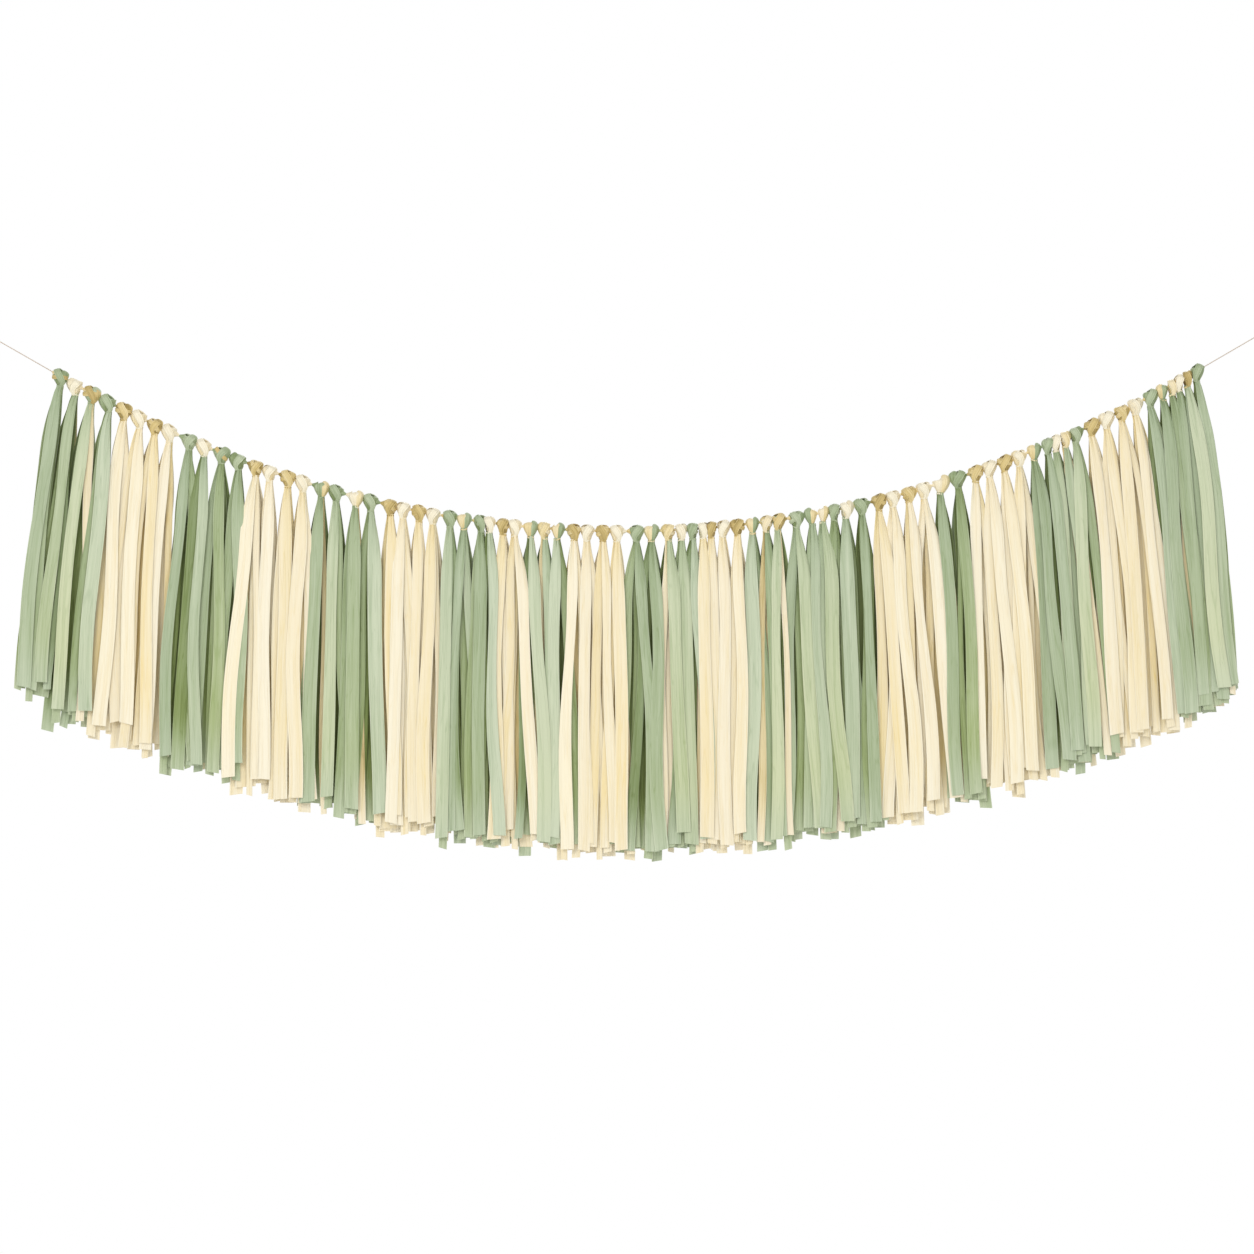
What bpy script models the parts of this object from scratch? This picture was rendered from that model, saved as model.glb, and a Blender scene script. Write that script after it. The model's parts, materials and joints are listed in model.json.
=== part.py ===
"""A paper fringe garland: strips of raffia paper knotted side by side along a sagging twine.

Metres, +Z up. The origin is the left nail that the garland hangs from, +X runs along the
garland to the right nail at the same height, and +Y points away from the viewer.
"""

import math
import random

import bmesh
import bpy
from mathutils import Vector

# The twine, and how it sags: the span is a catenary whose parameter is pull over weight
STRING_THICKNESS = 0.0012
CATENARY = 1.050
FRINGE_LENGTH = 1.2084  # along the twine
SWAG_SHIFT = 0.005  # the fringe sits this far to the right of the lowest point, along the twine
FREE_RISE = 0.046  # bare twine climbs this far above the fringe's higher end to reach the nails
BORE_CLEARANCE = 0.00045  # room round the twine inside a knot
TOUCHING_GAP = 0.0003  # gap between solids that meet

# The tassels from left to right. S is a sage pair of touching knots, C a cream pair, and s is a
# sage tassel with one knot.
TASSELS = "SSCCSSCCSSCCSSCSsCCSsSCCsSSSSCCSCCsSSCCSSS"
# Each knot's place across the fringe, from 0 at its left end to 1 at its right end
KNOT_PLACE_SHARES = (
    0.006, 0.019, 0.033, 0.048, 0.061, 0.075, 0.088, 0.101, 0.118, 0.131,
    0.146, 0.161, 0.176, 0.188, 0.204, 0.217, 0.233, 0.246, 0.263, 0.276,
    0.293, 0.304, 0.318, 0.330, 0.345, 0.357, 0.372, 0.379, 0.391, 0.401,
    0.415, 0.427, 0.438, 0.453, 0.464, 0.478, 0.490, 0.507, 0.520, 0.535,
    0.546, 0.556, 0.565, 0.572, 0.582, 0.595, 0.608, 0.620, 0.630, 0.646,
    0.660, 0.669, 0.679, 0.689, 0.703, 0.718, 0.730, 0.744, 0.757, 0.771,
    0.787, 0.802, 0.814, 0.827, 0.840, 0.853, 0.865, 0.872, 0.880, 0.889,
    0.903, 0.916, 0.929, 0.941, 0.954, 0.965, 0.973, 0.979, 0.986, 0.994,
)

# One knot: the twine runs through its upper half and the strips leave its pinched neck
KNOT_WIDTH = 0.0150  # where its neighbours leave it room
KNOT_DEPTH = 0.0120
KNOT_RISE = 0.0055  # twine's centre to the knot's top
NECK_DROP = 0.0115  # twine's centre to the neck's lower end
NECK_WIDTH = 0.0070
NECK_DEPTH = 0.0082
KNOT_PRESS = 0.0012  # how far the two knots of a pair press into each other
BARE_TWINE = 0.0014  # least twine showing between one tassel and the next

# The strips that hang from each knot
STRIPS = 4
STRIP_WIDTH = 0.0130  # where the lane is wide enough
STRIP_THICKNESS = 0.0008
LAYER_GAP = 0.0014  # air between one strip and the strip behind it
TAIL_DROP = 0.332  # twine's centre to the longest tips
TAIL_UNEVEN = 0.026  # how much shorter the shortest tips are
FLARE_DROP = 0.050  # below the neck, where a strip has opened to its full width
ROOT_SINK = 0.0015  # how far a strip runs up inside the neck
SIDE_CLEARANCE = 0.0008  # strip to the edge of its tassel's lane, where it has opened
TIP_CLEARANCE = 0.0015  # the same at the tips, where the lanes close up as the tassels swing
LEAN_LEFT = 0.042  # outward lean of the outermost tips
LEAN_RIGHT = 0.038

# The tied loops that go over the nails
LOOP_LENGTH = 0.0220
LOOP_WIDTH = 0.0090
LOOP_KNOT = 0.0044  # diameter of the knot that closes a loop
TAG_LENGTH = 0.0080  # cut end of twine that sticks out of a loop's knot

# Shares, chosen by eye
LEAN_FADE_LEFT_SHARE = 3.4  # power by which the lean fades towards the middle
LEAN_FADE_RIGHT_SHARE = 1.2
ROOT_WIDTH_SHARE = 0.80  # a strip's width inside the neck, of the neck's width
ROOT_STACK_SHARE = 0.88  # depth that the strips' centres would fill at the neck, of its depth
PARTNER_SHARE = 0.96  # a pair's right knot is this much smaller, so that its faces lie inside
# A knot from top to neck: share of its height, then how far it swells from neck to full size
KNOT_SHARES = (
    (0.00, 0.38, 0.25),
    (0.18, 0.96, 0.85),
    (0.44, 0.98, 1.00),
    (1.00, 0.00, 0.00),
)
# Where a strip's tip hangs across its lane, 0 at the left edge: a pair's left knot, its right
# knot, and a knot that has the lane to itself
LEFT_TIP_SHARES = (0.02, 0.34, 0.14, 0.50)
RIGHT_TIP_SHARES = (0.97, 0.64, 0.86, 0.48)
LONE_TIP_SHARES = (0.05, 0.95, 0.30, 0.70)
TIP_WANDER_SHARE = 0.06
# How much of the unevenness each strip of a knot takes, front to back
SHORT_SHARES = (0.70, 0.45, 0.15, 0.35)
SHORT_WANDER_SHARE = 0.3
LOOP_PEAK_SHARE = 4 / (3 * math.sqrt(3))  # greatest value of sin(t) sin(t / 2)
LOOP_ROOT_SHARE = 0.6  # where the loop's two legs enter its knot, of the knot's radius
TAG_SLANT = math.radians(50)  # the cut end turns this far from the bare twine

STRING_BEVEL_SEGMENTS = 1  # six sides
BORE_SIDES = 4
LOOP_POINTS = 18
FREE_POINTS = 8
SEED = 11

STRING_RADIUS = STRING_THICKNESS / 2
FRINGE_START = SWAG_SHIFT - FRINGE_LENGTH / 2
FRINGE_END = SWAG_SHIFT + FRINGE_LENGTH / 2
LAYER_PITCH = STRIP_THICKNESS + LAYER_GAP
LAYERS = 2 * STRIPS
ROOT_PITCH = ROOT_STACK_SHARE * NECK_DEPTH / LAYERS


def catenary(arc):
    """The twine's centre at a distance along it from the lowest point, which is at 0, 0, 0."""
    across = CATENARY * math.asinh(arc / CATENARY)
    return Vector((across, 0, math.hypot(arc, CATENARY) - CATENARY))


def slope(arc):
    """The twine's climb, in radians from the horizontal."""
    return math.atan(arc / CATENARY)


def along(angle):
    """A unit vector in the garland's plane that climbs at an angle."""
    return Vector((math.cos(angle), 0, math.sin(angle)))


HANG_HEIGHT = max(catenary(FRINGE_START).z, catenary(FRINGE_END).z) + FREE_RISE


def nail(arc):
    """Where the bare twine beyond the fringe, pulled straight, reaches the nails' height."""
    end = catenary(arc)
    climb = HANG_HEIGHT - end.z
    return end + Vector((climb / math.tan(slope(arc)), 0, climb))


ORIGIN = nail(FRINGE_START)


def twine(arc):
    """The twine's centre in the garland's frame."""
    return catenary(arc) - ORIGIN


def tassel_layout():
    """Each tassel's letter, where its knots are along the twine, and the edges of its lane."""
    low, high = catenary(FRINGE_START).x, catenary(FRINGE_END).x
    arcs = [CATENARY * math.sinh(mix(low, high, share) / CATENARY) for share in KNOT_PLACE_SHARES]
    middles = [(before + after) / 2 for before, after in zip(arcs, arcs[1:])]
    edges = [FRINGE_START, *middles, FRINGE_END]
    tassels = []
    first = 0
    for letter in TASSELS:
        after = first + (2 if letter.isupper() else 1)
        tassels.append((letter.upper(), arcs[first:after], (edges[first], edges[after])))
        first = after
    return tassels


def lean(arc):
    """How far the tips below this point of the twine lean outwards."""
    if arc < 0:
        return -LEAN_LEFT * (arc / FRINGE_START) ** LEAN_FADE_LEFT_SHARE
    return LEAN_RIGHT * (arc / FRINGE_END) ** LEAN_FADE_RIGHT_SHARE


def lane_edge(arc, height):
    """The x of the line between two neighbouring tassels, at a height in the frame."""
    top = twine(arc)
    return top.x + lean(arc) * (top.z - height) / TAIL_DROP


def mix(a, b, share):
    """A value between two others."""
    return a + (b - a) * share


def paper(name, colour, roughness):
    """A plain paper or twine finish."""
    material = bpy.data.materials.new(name)
    material.use_nodes = True
    shader = material.node_tree.nodes["Principled BSDF"]
    shader.inputs["Base Color"].default_value = (*colour, 1)
    shader.inputs["Roughness"].default_value = roughness
    shader.inputs["Metallic"].default_value = 0
    return material


def add_object(name, data, home, collection, material=None, parent=None):
    """Put a mesh or a curve in the scene at a place, under an empty where one is given."""
    item = bpy.data.objects.new(name, data)
    collection.objects.link(item)
    item.location = home
    if parent:
        item.parent = parent
        item.location = home - parent.location
    if material:
        data.materials.append(material)
    return item


def add_loft(mesh, sections):
    """A closed body through rings of corners, listed from one end to the other."""
    rings = [[mesh.verts.new(corner) for corner in section] for section in sections]
    sides = len(rings[0])
    for upper, lower in zip(rings, rings[1:]):
        for n in range(sides):
            after = (n + 1) % sides
            mesh.faces.new((upper[n], upper[after], lower[after], lower[n]))
    mesh.faces.new(rings[0])
    mesh.faces.new(rings[-1])


def finish_mesh(name, mesh):
    """A mesh datablock with its faces pointing out."""
    bmesh.ops.recalc_face_normals(mesh, faces=mesh.faces)
    data = bpy.data.meshes.new(name)
    mesh.to_mesh(data)
    mesh.free()
    return data


def knot_mesh(name, arc, reaches, size, home):
    """One knot: a rounded block on the slanting twine that draws in to an upright neck.

    It reaches its own way to the left and to the right, and its size is a share of the full height
    and depth. Its section has eight corners, with flats at the front and where it meets its
    neighbour.
    """
    centre = twine(arc) - home
    height = KNOT_RISE + NECK_DROP
    corners = [math.pi / 8 + math.pi / 4 * n for n in range(8)]
    octagon = [(math.cos(t) / math.cos(math.pi / 8), math.sin(t) / math.cos(math.pi / 8)) for t in corners]
    sections = []
    for down, wide, deep in KNOT_SHARES:
        drop = (down * height - KNOT_RISE) * size
        upright = max(drop, 0) / NECK_DROP
        middle = centre - Vector((0, 0, drop))
        direction = along(slope(arc) * (1 - upright))
        back = Vector((0, mix(NECK_DEPTH, KNOT_DEPTH, deep) * size / 2, 0))
        sides = [direction * mix(NECK_WIDTH / 2, reach, wide) for reach in reaches]
        sections.append([middle + sides[a > 0] * a + back * b for a, b in octagon])
    mesh = bmesh.new()
    add_loft(mesh, sections)
    return finish_mesh(name, mesh)


def strip_section(middle, width):
    """The four corners of a flat strip, cut level."""
    side = Vector((width / 2, 0, 0))
    back = Vector((0, STRIP_THICKNESS / 2, 0))
    return [middle - side - back, middle + side - back, middle + side + back, middle - side + back]


def strips_mesh(name, knots, edges, home, chance):
    """The strips of a tassel's knots, each in a layer of its own so that none cross."""
    mesh = bmesh.new()
    fans = [(0, LEFT_TIP_SHARES), (1, RIGHT_TIP_SHARES)]
    if len(knots) == 1:
        fans = [(1 / 2, LONE_TIP_SHARES)]
    for arc, (which, tips) in zip(knots, fans):
        knot = twine(arc)
        for n in range(STRIPS):
            layer = 2 * n + which - (LAYERS - 1) / 2
            wander = chance.uniform(-SHORT_WANDER_SHARE, SHORT_WANDER_SHARE)
            short = TAIL_UNEVEN * min(1, max(0, SHORT_SHARES[n] + wander))
            wander = chance.uniform(-TIP_WANDER_SHARE, TIP_WANDER_SHARE)
            place = min(1, max(0, tips[n] + wander))
            root = knot + Vector((0, layer * ROOT_PITCH, ROOT_SINK - NECK_DROP))
            sections = [strip_section(root - home, NECK_WIDTH * ROOT_WIDTH_SHARE)]
            opened = (NECK_DROP + FLARE_DROP, SIDE_CLEARANCE)
            for drop, clear in (opened, (TAIL_DROP - short, TIP_CLEARANCE)):
                height = knot.z - drop
                low, high = [lane_edge(edge, height) for edge in edges]
                width = min(STRIP_WIDTH, high - low - 2 * clear)
                inset = clear + width / 2
                middle = Vector((mix(low + inset, high - inset, place), layer * LAYER_PITCH, height))
                sections.append(strip_section(middle - home, width))
            add_loft(mesh, sections)
    return finish_mesh(name, mesh)


def bore_mesh(name, angle, length):
    """The path of the twine through a tassel's knots, with flat sides that clear it."""
    mesh = bmesh.new()
    radius = (STRING_RADIUS + BORE_CLEARANCE) / math.cos(math.pi / BORE_SIDES)
    bmesh.ops.create_cone(mesh, cap_ends=True, segments=BORE_SIDES, radius1=radius, radius2=radius,
                          depth=length)
    turn = Vector((0, 0, 1)).rotation_difference(along(angle)).to_matrix()
    bmesh.ops.rotate(mesh, verts=mesh.verts, matrix=turn)
    return finish_mesh(name, mesh)


def cut(target, tool, operation):
    """Join a hidden solid to a piece, or take it away."""
    tool.hide_render = True
    tool.display_type = "WIRE"
    modifier = target.modifiers.new(tool.name, "BOOLEAN")
    modifier.operation = operation
    modifier.solver = "EXACT"
    modifier.object = tool


def knot_reaches(knots, edges):
    """How far each knot reaches left and right: onto its partner, or short of its lane's edge."""
    outer = [min(KNOT_WIDTH, 2 * abs(edge - arc) - BARE_TWINE) / 2
             for edge, arc in zip(edges, (knots[0], knots[-1]))]
    if len(knots) == 1:
        return [outer]
    inner = (knots[1] - knots[0] + KNOT_PRESS) / 2
    return [(outer[0], inner), (inner, outer[1])]


def make_tassel(name, letter, knots, edges, chance, paints, places, axis):
    """One or two knots and their strips, bored for the twine; the origin is on the twine."""
    middle = sum(knots) / len(knots)
    home = twine(middle)
    reaches = knot_reaches(knots, edges)
    tassel = add_object(name, knot_mesh(name, knots[0], reaches[0], 1, home), home, places["parts"],
                        paints[letter], axis)
    tools = {"_strips": strips_mesh(name + "_strips", knots, edges, home, chance)}
    if len(knots) == 2:
        tools["_knot"] = knot_mesh(name + "_knot", knots[1], reaches[1], PARTNER_SHARE, home)
    tools["_bore"] = bore_mesh(name + "_bore", slope(middle), 2 * (edges[1] - edges[0]))
    for ending, mesh in tools.items():
        tool = add_object(name + ending, mesh, home, places["cutters"], paints[letter], axis)
        cut(tassel, tool, "DIFFERENCE" if ending == "_bore" else "UNION")


def twine_curve(name, points):
    """A round twine along a list of points, with closed ends."""
    data = bpy.data.curves.new(name, "CURVE")
    data.dimensions = "3D"
    data.bevel_depth = STRING_RADIUS
    data.bevel_resolution = STRING_BEVEL_SEGMENTS
    data.use_fill_caps = True
    data.render_resolution_u = 0
    spline = data.splines.new("POLY")
    spline.points.add(len(points) - 1)
    for point, place in zip(spline.points, points):
        point.co = (*place, 1)
    return data


def make_string(paints, places, axis):
    """The twine through the knots, with a point between each tassel and the next."""
    home = twine(0)
    arcs = [FRINGE_START] + [edges[1] for letter, knots, edges in tassel_layout()]
    points = [twine(arc) - home for arc in arcs]
    add_object("string", twine_curve("string", points), home, places["parts"], paints["twine"], axis)


def make_free_end(name, arc, paints, places, axis):
    """The bare twine pulled straight from the outermost tassel to its loop's knot."""
    start = twine(arc)
    reach = nail(arc) - catenary(arc)
    pull = reach.normalized()
    first = pull * TOUCHING_GAP
    last = reach - pull * (LOOP_LENGTH + LOOP_KNOT / 2 + TOUCHING_GAP)
    points = [first.lerp(last, n / (FREE_POINTS - 1)) for n in range(FREE_POINTS)]
    add_object(name, twine_curve(name, points), start, places["parts"], paints["twine"], axis)


def loop_points(pull):
    """A teardrop of twine in the garland's plane, from its knot out to the nail and back."""
    across = Vector((-pull.z, 0, pull.x))
    start = math.acos(1 - LOOP_ROOT_SHARE * LOOP_KNOT / LOOP_LENGTH)
    leg = (STRING_THICKNESS + TOUCHING_GAP) / 2
    points = []
    for n in range(LOOP_POINTS):
        turn = mix(start, 2 * math.pi - start, n / (LOOP_POINTS - 1))
        out = LOOP_LENGTH * (1 - math.cos(turn)) / 2
        swell = math.sin(turn) * math.sin(turn / 2) / LOOP_PEAK_SHARE
        side = leg * math.cos(turn / 2) + (LOOP_WIDTH / 2 - leg) * swell
        points.append(pull * out + across * side)
    return points


def loop_knot(arc):
    """The centre of the knot that closes the loop beyond one end of the fringe."""
    return nail(arc) - ORIGIN - (nail(arc) - catenary(arc)).normalized() * LOOP_LENGTH


def add_solid(name, mesh, direction, home, places, paint):
    """A hidden solid whose upright axis is turned to a direction."""
    turn = Vector((0, 0, 1)).rotation_difference(direction).to_matrix()
    bmesh.ops.rotate(mesh, verts=mesh.verts, matrix=turn)
    return add_object(name, finish_mesh(name, mesh), home, places["cutters"], paint)


def make_loop(name, arc, paints, places):
    """A tied loop: the eye that goes over the nail, its knot and the cut end of the twine."""
    pull = (nail(arc) - catenary(arc)).normalized()
    home = loop_knot(arc)
    curve = add_object(name + "_eye", twine_curve(name + "_eye", loop_points(pull)), home,
                       places["cutters"])
    bpy.context.view_layer.update()
    shaped = curve.evaluated_get(bpy.context.evaluated_depsgraph_get())
    data = bpy.data.meshes.new_from_object(shaped)
    bpy.data.objects.remove(curve, do_unlink=True)
    mesh = bmesh.new()
    mesh.from_mesh(data)
    bmesh.ops.remove_doubles(mesh, verts=mesh.verts, dist=STRING_RADIUS / 100)
    loop = add_object(name, finish_mesh(name, mesh), home, places["parts"], paints["twine"])

    mesh = bmesh.new()
    bmesh.ops.create_uvsphere(mesh, u_segments=8, v_segments=6, radius=LOOP_KNOT / 2)
    cut(loop, add_solid(name + "_knot", mesh, pull, home, places, paints["twine"]), "UNION")

    mesh = bmesh.new()
    bmesh.ops.create_cone(mesh, cap_ends=True, segments=8, radius1=STRING_RADIUS,
                          radius2=STRING_RADIUS, depth=TAG_LENGTH)
    bmesh.ops.translate(mesh, verts=mesh.verts, vec=(0, 0, TAG_LENGTH / 2))
    hang = along(math.atan2(-pull.z, -pull.x) + math.copysign(TAG_SLANT, pull.x))
    cut(loop, add_solid(name + "_tag", mesh, hang, home, places, paints["twine"]), "UNION")


def build():
    """Clear the scene and put the garland together."""
    for item in list(bpy.data.objects):
        bpy.data.objects.remove(item, do_unlink=True)
    places = {}
    for key, title in (("parts", "Paper fringe garland"), ("cutters", "Cutters")):
        places[key] = bpy.data.collections.new(title)
        bpy.context.scene.collection.children.link(places[key])
    paints = {
        "S": paper("sage_paper", (0.36, 0.47, 0.28), 0.75),
        "C": paper("cream_paper", (0.88, 0.78, 0.56), 0.75),
        "twine": paper("twine", (0.58, 0.47, 0.36), 0.9),
    }
    axis = bpy.data.objects.new("garland_swing_axis", None)
    axis.location = loop_knot(FRINGE_START)
    places["parts"].objects.link(axis)

    make_string(paints, places, axis)
    for side, arc in (("left", FRINGE_START), ("right", FRINGE_END)):
        make_free_end(f"string_{side}_end", arc, paints, places, axis)
        make_loop(f"{side}_hanging_loop", arc, paints, places)
    chance = random.Random(SEED)
    for n, (letter, knots, edges) in enumerate(tassel_layout()):
        name = f"tassel_pair_{n + 1:02d}" if len(knots) == 2 else f"single_tassel_{n + 1:02d}"
        make_tassel(name, letter, knots, edges, chance, paints, places, axis)


build()
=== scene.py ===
"""The looks of a paper fringe garland: raffia paper strips knotted along a sagging twine."""

import json
import math
import random

import bpy
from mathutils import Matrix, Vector


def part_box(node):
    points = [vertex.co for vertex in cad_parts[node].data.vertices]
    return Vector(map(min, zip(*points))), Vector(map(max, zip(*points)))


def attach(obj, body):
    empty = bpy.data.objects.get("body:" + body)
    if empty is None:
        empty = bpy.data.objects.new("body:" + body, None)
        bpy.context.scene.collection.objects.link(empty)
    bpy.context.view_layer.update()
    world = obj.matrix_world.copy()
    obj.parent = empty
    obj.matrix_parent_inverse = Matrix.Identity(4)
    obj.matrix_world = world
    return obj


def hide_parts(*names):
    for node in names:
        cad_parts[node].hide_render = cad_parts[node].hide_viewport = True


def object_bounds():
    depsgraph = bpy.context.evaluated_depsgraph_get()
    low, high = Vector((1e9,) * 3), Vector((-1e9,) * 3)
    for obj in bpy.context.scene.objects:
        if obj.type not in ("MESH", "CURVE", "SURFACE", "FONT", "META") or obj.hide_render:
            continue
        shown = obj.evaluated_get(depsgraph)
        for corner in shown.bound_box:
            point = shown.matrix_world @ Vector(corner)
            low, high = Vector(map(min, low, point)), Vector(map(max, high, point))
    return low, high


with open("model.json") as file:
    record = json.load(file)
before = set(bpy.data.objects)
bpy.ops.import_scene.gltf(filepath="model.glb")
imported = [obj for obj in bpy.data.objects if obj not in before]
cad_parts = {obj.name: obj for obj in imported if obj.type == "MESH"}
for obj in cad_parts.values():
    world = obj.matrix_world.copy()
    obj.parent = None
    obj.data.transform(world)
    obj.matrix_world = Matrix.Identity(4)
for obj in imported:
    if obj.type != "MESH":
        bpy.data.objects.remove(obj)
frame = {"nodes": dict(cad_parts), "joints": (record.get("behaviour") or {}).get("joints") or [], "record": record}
cad_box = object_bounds()
scene = bpy.context.scene


# The studio: the garland hangs flat and is seen square-on through a long lens, against white, in
# soft light from the front and a little from behind. The pale floor lies below the camera's view.
PHOTO_SIDE = 1254
PIXEL = 0.001  # one pixel of the photograph, at the garland
NAILS_PIXEL = (623.3, 321.1)  # the middle between the two nails, in the photograph
CAMERA_DISTANCE = 7.0
SENSOR = 36  # width in millimetres
FLOOR_DROP = 0.80  # below the longest tips
FLOOR_RADIUS = 3.0
FLOOR_SIDES = 96
FLOOR_COLOUR = (0.86, 0.86, 0.85, 1)
FLOOR_ROUGHNESS = 0.9
WHITE = (1, 1, 1, 1)
AMBIENT = 0.60  # strength of the world's light on the object; to the camera it is plain white
# Each lamp's place from the middle of the view, its width and its power in watts
LAMPS = (
    (Vector((-1.7, -5.0, 1.9)), 2.2, 98),
    (Vector((1.2, -5.6, -0.2)), 2.6, 56),
    (Vector((1.2, 4.6, 2.4)), 3.0, 110),
)


class Wire:
    """A socket of a node tree. Sums with it add Math nodes, or Vector Math nodes for a vector."""

    def __init__(self, socket):
        self.socket = socket

    def node(self, kind, settings, inputs, output=0):
        """Add a node: its settings are set first, then the values or links of its sockets."""
        tree = self.socket.id_data
        added = tree.nodes.new(kind)
        for name, value in settings.items():
            if name == "stops":
                ramp = added.color_ramp.elements
                while len(ramp) < len(value):
                    ramp.new(1)
                for stop, (place, colour) in zip(ramp, value):
                    stop.position = place
                    stop.color = (*colour, 1)
            else:
                setattr(added, name, value)
        for key, value in inputs.items():
            if isinstance(value, Wire):
                tree.links.new(value.socket, added.inputs[key])
            else:
                added.inputs[key].default_value = value
        return Wire(added.outputs[output])

    def combine(self, operation, first, second):
        """One Math or Vector Math node for two parts, of which a number may be one."""
        kinds = [part.socket.type for part in (first, second) if isinstance(part, Wire)]
        if "VECTOR" not in kinds:
            return self.node("ShaderNodeMath", {"operation": operation}, {0: first, 1: second})
        parts = [part if isinstance(part, (Wire, Vector)) else (part,) * 3 for part in (first, second)]
        return self.node("ShaderNodeVectorMath", {"operation": operation}, {0: parts[0], 1: parts[1]})

    def __add__(self, other):
        return self.combine("ADD", self, other)

    def __radd__(self, other):
        return self.combine("ADD", other, self)

    def __sub__(self, other):
        return self.combine("SUBTRACT", self, other)

    def __rsub__(self, other):
        return self.combine("SUBTRACT", other, self)

    def __mul__(self, other):
        return self.combine("MULTIPLY", self, other)

    def __rmul__(self, other):
        return self.combine("MULTIPLY", other, self)

    def __truediv__(self, other):
        return self.combine("DIVIDE", self, other)

    def math(self, operation, other=0.0):
        """A named operation of a Math node on this number."""
        return self.node("ShaderNodeMath", {"operation": operation}, {0: self, 1: other})

    def smooth(self, low, high):
        """How far this number has come from low to high, eased at both ends."""
        return self.node("ShaderNodeMapRange", {"interpolation_type": "SMOOTHSTEP"},
                         {"Value": self, "From Min": low, "From Max": high})


def place_object(name, data):
    """An object at the origin for a mesh, lamp or camera."""
    item = bpy.data.objects.new(name, data)
    scene.collection.objects.link(item)
    return item


nails = [Vector(mount["pos_m"]) for mount in frame["record"]["mounts"]]
off_middle = Vector((PHOTO_SIDE / 2 - NAILS_PIXEL[0], 0, NAILS_PIXEL[1] - PHOTO_SIDE / 2)) * PIXEL
view_middle = (nails[0] + nails[1]) / 2 + off_middle

camera = place_object("camera", bpy.data.cameras.new("camera"))
camera.data.sensor_width = SENSOR
camera.data.lens = SENSOR * CAMERA_DISTANCE / (PHOTO_SIDE * PIXEL)
camera.location = view_middle - Vector((0, CAMERA_DISTANCE, 0))
camera.rotation_euler = (math.pi / 2, 0, 0)
scene.camera = camera
scene.view_settings.view_transform = "Standard"

for number, (offset, width, power) in enumerate(LAMPS, 1):
    lamp = place_object(f"lamp_{number}", bpy.data.lights.new(f"lamp_{number}", "AREA"))
    lamp.data.shape = "DISK"
    lamp.data.size = width
    lamp.data.energy = power
    lamp.location = view_middle + offset
    lamp.rotation_euler = (-offset).to_track_quat("-Z", "Y").to_euler()

world = bpy.data.worlds.new("white room")
scene.world = world
world.use_nodes = True
backdrop = world.node_tree.nodes["Background"]
camera_ray, glossy_ray, transmission_ray = [
    Wire(world.node_tree.nodes.new("ShaderNodeLightPath").outputs[name])
    for name in ("Is Camera Ray", "Is Glossy Ray", "Is Transmission Ray")
]
seen = camera_ray.math("MAXIMUM", glossy_ray).math("MAXIMUM", transmission_ray)
world.node_tree.links.new((AMBIENT + seen * (1 - AMBIENT)).socket, backdrop.inputs["Strength"])
backdrop.inputs["Color"].default_value = WHITE

floor_mesh = bpy.data.meshes.new("floor")
floor_z = cad_box[0][2] - FLOOR_DROP
floor_turns = [2 * math.pi * n / FLOOR_SIDES for n in range(FLOOR_SIDES)]
floor_mesh.from_pydata([
    (view_middle.x + FLOOR_RADIUS * math.cos(turn), FLOOR_RADIUS * math.sin(turn), floor_z)
    for turn in floor_turns
], [], [range(FLOOR_SIDES)])
floor = place_object("floor", floor_mesh)
floor_paint = bpy.data.materials.new("pale floor")
floor_paint.use_nodes = True
floor_shader = floor_paint.node_tree.nodes["Principled BSDF"]
floor_shader.inputs["Base Color"].default_value = FLOOR_COLOUR
floor_shader.inputs["Roughness"].default_value = FLOOR_ROUGHNESS
floor_mesh.materials.append(floor_paint)


# The twine in the fringe: two plies of natural cotton, laid into each other, a little over a
# millimetre thick. It sags through all the knots, which are tied round it.
FRINGE_ENDS = (Vector((0.0893, 0, -0.0511)), Vector((1.2394, 0, -0.0461)))  # where the twine comes out
TWINE_LAY = 0.0042  # length of one full turn of the plies
TWINE_STEP = 0.0006
TWINE_SIDES = 10
TWINE_WAIST = 0.70  # thickness across the groove between the plies, of the full thickness
TWINE_COLOURS = ((0.0, (0.33, 0.24, 0.16)), (0.5, (0.56, 0.45, 0.35)), (1.0, (0.72, 0.62, 0.52)))
COTTON_ROUGHNESS = 0.9
PLY_TONE = 0.90  # on a ply's crest, as a place in the run of colours
GROOVE_SHADE = 0.28  # painted shade in the grooves between the plies: how much darker they are
COTTON_SCALE = 4200.0  # of the noise that stands for fibres
COTTON_DETAIL = 3.0
FIBRE_RUN = 0.25  # below 1, the noise is drawn out along the twine
FIBRE_GIRTH = 0.004  # how much noise lies round the twine
FIBRE_TONE = 0.6
COTTON_RELIEF = 0.0001
COTTON_BUMP = 0.6


def new_tree(name, sockets):
    """An empty tree for a Geometry Nodes modifier, with its named inputs as wires."""
    tree = bpy.data.node_groups.new(name, "GeometryNodeTree")
    tree.interface.new_socket("Geometry", in_out="INPUT", socket_type="NodeSocketGeometry")
    for label, kind in sockets:
        tree.interface.new_socket(label, in_out="INPUT", socket_type="NodeSocket" + kind)
    tree.interface.new_socket("Geometry", in_out="OUTPUT", socket_type="NodeSocketGeometry")
    given = tree.nodes.new("NodeGroupInput").outputs
    return tree, {socket.name: Wire(socket) for socket in given if socket.name}


def finish_tree(tree, shape, given):
    """Close a tree: real geometry with its material."""
    shape = shape.node("GeometryNodeRealizeInstances", {}, {0: shape})
    shape = shape.node("GeometryNodeSetMaterial", {},
                       {"Geometry": shape, "Material": given["Material"]})
    tree.links.new(shape.socket, tree.nodes.new("NodeGroupOutput").inputs[0])
    return tree


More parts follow.
